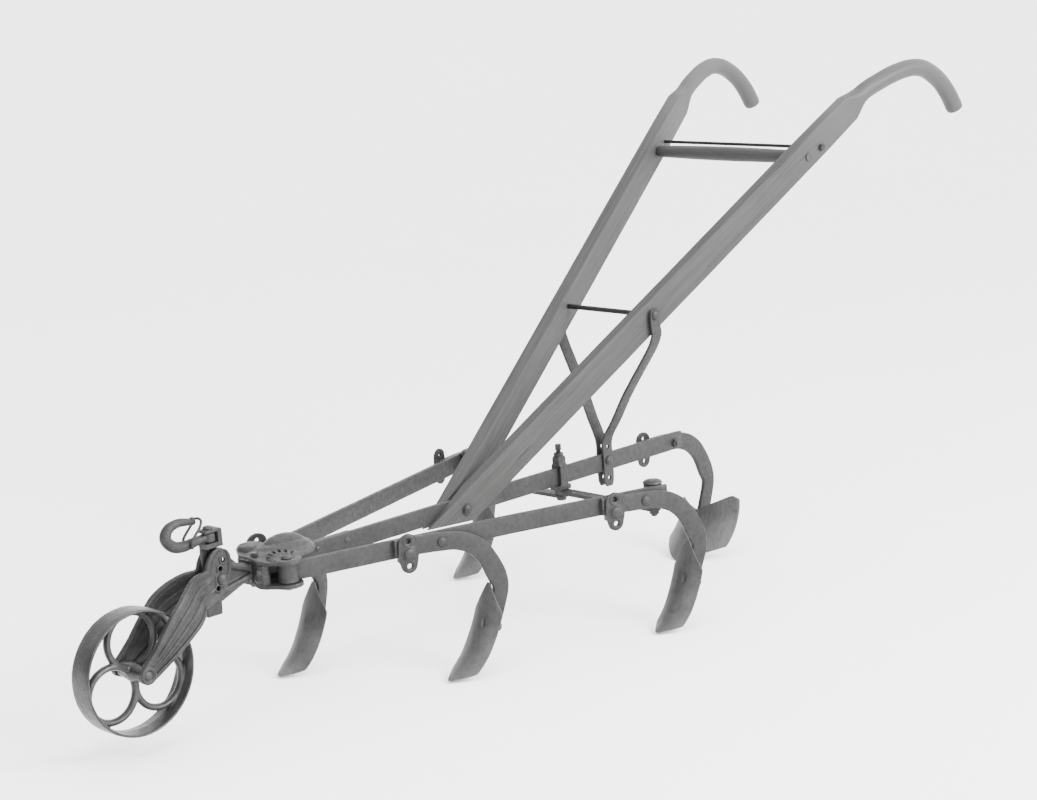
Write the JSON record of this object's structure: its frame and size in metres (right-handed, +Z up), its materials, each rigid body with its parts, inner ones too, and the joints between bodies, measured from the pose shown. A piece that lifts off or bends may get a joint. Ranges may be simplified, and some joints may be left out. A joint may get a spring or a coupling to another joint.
{
  "type": "expanding walking cultivator",
  "caption": "Walking cultivator with hinged side bars, curved teeth, a rear shovel, a gauge wheel on a fork, a draft hook and bent wooden handles.",
  "frame": {"origin": "on the ground, under the middle of the machine's overall box", "axes": "+X from the wheel to the handles along the centre beam, +Y to the side called right in the node names, +Z up"},
  "size_m": [2.1486, 0.6889, 1.0024],
  "materials": {
    "bar_iron": "worn dark paint over rolled iron",
    "castings": "sandy cast iron with worn dark paint",
    "wheel_iron": "cast iron, rim rubbed smoother",
    "hardware_steel": "dull dark steel",
    "blade_steel": "soil-worn dark steel",
    "handle_wood": "old weathered hardwood, dark"
  },
  "bodies": {
    "frame": {"centre_beam": "bar_iron", "head_top_plate": "castings", "head_bottom_plate": "castings", "head_bolt": "hardware_steel", "pivot_bolt_left": "hardware_steel", "pivot_bolt_right": "hardware_steel", "neck_bracket": "castings", "draft_bar": "castings", "hook_pin": "hardware_steel", "handle_left": "handle_wood", "handle_right": "handle_wood", "handle_bolt": "hardware_steel", "crosspiece": "handle_wood", "crosspiece_rod": "hardware_steel", "handle_tie_rod": "hardware_steel", "brace_left": "bar_iron", "brace_right": "bar_iron", "brace_bolt": "hardware_steel", "clamp_plate_centre_rear": "castings", "standard_centre_rear": "bar_iron", "standard_bolt_centre_rear": "hardware_steel", "shovel_centre_rear": "blade_steel", "blade_bolt_centre_rear": "hardware_steel"},
    "wing_left": {"side_bar_left": "bar_iron", "end_pin_left": "hardware_steel", "clamp_plate_left_front": "castings", "standard_left_front": "bar_iron", "standard_bolt_left_front": "hardware_steel", "tooth_left_front": "blade_steel", "blade_bolt_left_front": "hardware_steel", "clamp_plate_left_rear": "castings", "standard_left_rear": "bar_iron", "standard_bolt_left_rear": "hardware_steel", "tooth_left_rear": "blade_steel", "blade_bolt_left_rear": "hardware_steel"},
    "wing_right": {"side_bar_right": "bar_iron", "end_pin_right": "hardware_steel", "clamp_plate_right_front": "castings", "standard_right_front": "bar_iron", "standard_bolt_right_front": "hardware_steel", "tooth_right_front": "blade_steel", "blade_bolt_right_front": "hardware_steel", "clamp_plate_right_rear": "castings", "standard_right_rear": "bar_iron", "standard_bolt_right_rear": "hardware_steel", "tooth_right_rear": "blade_steel", "blade_bolt_right_rear": "hardware_steel"},
    "expander": {"expander_clamp": "castings", "expander_pin": "hardware_steel"},
    "screw": {"set_screw": "hardware_steel"},
    "left_link": {"link_left": "bar_iron"},
    "right_link": {"link_right": "bar_iron"},
    "fork": {"fork_arm_left": "castings", "fork_arm_right": "castings", "fork_bolt": "hardware_steel", "wheel_axle": "hardware_steel"},
    "gauge_wheel": {"wheel": "wheel_iron"},
    "hook": {"draft_hook": "castings"},
    "keeper": {"hook_keeper": "hardware_steel"}
  },
  "joints": [
    {"name": "expander_slide", "type": "slide", "parent": "frame", "child": "expander", "axis": [1, 0, 0], "range_m": [-0.15, 0]},
    {"name": "wing_left_hinge", "type": "hinge", "parent": "frame", "child": "wing_left", "pos_m": [-0.6495, -0.0505, 0.262], "axis": [0, 0, 1], "range_deg": [0, 4.3]},
    {"name": "wing_right_hinge", "type": "hinge", "parent": "frame", "child": "wing_right", "pos_m": [-0.6495, 0.0505, 0.262], "axis": [0, 0, 1], "range_deg": [-4.3, 0]},
    {"name": "link_left_hinge", "type": "hinge", "parent": "expander", "child": "left_link", "pos_m": [0.091, 0, 0.23], "axis": [0, 0, 1], "range_deg": [0, 39.5]},
    {"name": "link_right_hinge", "type": "hinge", "parent": "expander", "child": "right_link", "pos_m": [0.091, 0, 0.222], "axis": [0, 0, 1], "range_deg": [-39.5, 0]},
    {"name": "set_screw_travel", "type": "slide", "parent": "expander", "child": "screw", "axis": [0, 0, 1], "range_m": [0, 0.01]},
    {"name": "fork_tilt", "type": "hinge", "parent": "frame", "child": "fork", "pos_m": [-0.766, 0, 0.2675], "axis": [0, 1, 0], "range_deg": [-12, 12]},
    {"name": "wheel_spin", "type": "hinge", "parent": "fork", "child": "gauge_wheel", "pos_m": [-0.9625, 0, 0.15], "axis": [0, 1, 0], "continuous": true},
    {"name": "hook_swing", "type": "hinge", "parent": "frame", "child": "hook", "pos_m": [-0.778, 0, 0.345], "axis": [0, 0, 1], "range_deg": [-45, 45]},
    {"name": "keeper_flip", "type": "hinge", "parent": "hook", "child": "keeper", "pos_m": [-0.823, 0, 0.339], "axis": [0, 1, 0], "range_deg": [0, 20], "stiffness_Nm_per_rad": 0.05}
  ],
  "couplings": [
    {"joint": "wing_left_hinge", "follows": "expander_slide", "rad_per_m": -0.498},
    {"joint": "wing_right_hinge", "follows": "expander_slide", "rad_per_m": 0.498},
    {"joint": "link_left_hinge", "follows": "expander_slide", "rad_per_m": -4.5844},
    {"joint": "link_right_hinge", "follows": "expander_slide", "rad_per_m": 4.5844}
  ]
}
